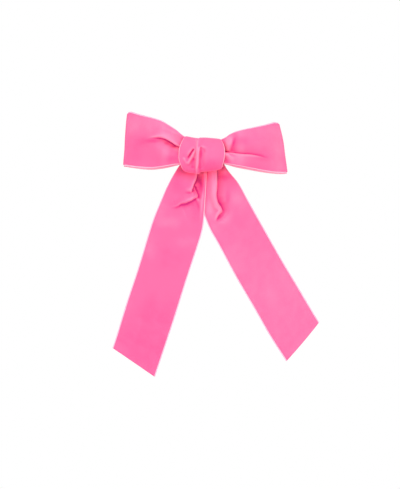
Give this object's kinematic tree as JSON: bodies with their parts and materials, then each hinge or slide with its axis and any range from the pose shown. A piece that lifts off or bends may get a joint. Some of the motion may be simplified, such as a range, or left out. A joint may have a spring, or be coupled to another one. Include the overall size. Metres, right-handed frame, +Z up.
{
  "type": "barrette",
  "caption": "Hair barrette with a velvet ribbon bow: two flat loops, a wrapped knot and long slant-cut tails, sewn to a sprung clip with a hinged clamp arm and a pinch catch.",
  "frame": {"origin": "middle of the hair channel, between the tension bar and the clamp arm, half way along the clip", "axes": "+X to the right as seen from the front, +Y from the bow towards the head, +Z up as worn; the tails hang towards -Z"},
  "size_m": [0.1627, 0.0382, 0.2054],
  "materials": {
    "velvet_ribbon": "pink cut-pile velvet with a paler woven selvedge",
    "sewing_thread": "pink spun polyester thread",
    "nickel_plate": "bright nickel plate",
    "spring_steel": "nickel-plated spring steel, lightly brushed"
  },
  "bodies": {
    "bow": {"base_plate": "nickel_plate", "hinge_bracket": "nickel_plate", "hinge_rivet": "nickel_plate", "hinge_pin": "nickel_plate", "catch_plate": "nickel_plate", "catch_rivet": "nickel_plate", "loop_ribbon": "velvet_ribbon", "knot_ribbon": "velvet_ribbon", "left_tail_top": "velvet_ribbon", "right_tail_top": "velvet_ribbon", "gathering_thread": "sewing_thread", "knot_stitches": "sewing_thread", "tail_stitches": "sewing_thread", "plate_sewing_left": "sewing_thread", "plate_sewing_right": "sewing_thread"},
    "clamp_arm": {"clamp_arm": "nickel_plate"},
    "tension_bar": {"tension_bar": "spring_steel"},
    "catch_prong_upper": {"catch_prong_upper": "spring_steel"},
    "catch_prong_lower": {"catch_prong_lower": "spring_steel"},
    "left_tail": {"left_tail": "velvet_ribbon"},
    "right_tail": {"right_tail": "velvet_ribbon"}
  },
  "joints": [
    {"name": "clamp_arm_swing", "type": "hinge", "parent": "bow", "child": "clamp_arm", "pos_m": [-0.0375, 0.0051, 0], "axis": [0, 0, 1], "range_deg": [0, 100]},
    {"name": "catch_pinch_upper", "type": "hinge", "parent": "bow", "child": "catch_prong_upper", "pos_m": [0.0353, -0.0047, 0.0025], "axis": [-1, 0, 0], "range_deg": [0, 8], "stiffness_Nm_per_rad": 0.2},
    {"name": "catch_pinch_lower", "type": "hinge", "parent": "bow", "child": "catch_prong_lower", "pos_m": [0.0353, -0.0047, -0.0025], "axis": [1, 0, 0], "range_deg": [0, 8], "stiffness_Nm_per_rad": 0.2},
    {"name": "tension_bar_press", "type": "hinge", "parent": "bow", "child": "tension_bar", "pos_m": [-0.0346, -0.0042, 0], "axis": [0, 0, -1], "range_deg": [0, 1.5], "stiffness_Nm_per_rad": 1.2},
    {"name": "left_tail_swing", "type": "hinge", "parent": "bow", "child": "left_tail", "pos_m": [-0.0194, -0.01265, -0.0469], "axis": [-0.9563, 0, 0.2924], "range_deg": [-10, 60]},
    {"name": "right_tail_swing", "type": "hinge", "parent": "bow", "child": "right_tail", "pos_m": [0.0188, -0.011, -0.043], "axis": [-0.8616, 0, -0.5075], "range_deg": [-10, 60]}
  ],
  "couplings": [
    {"joint": "catch_pinch_lower", "follows": "catch_pinch_upper", "ratio": 1}
  ]
}
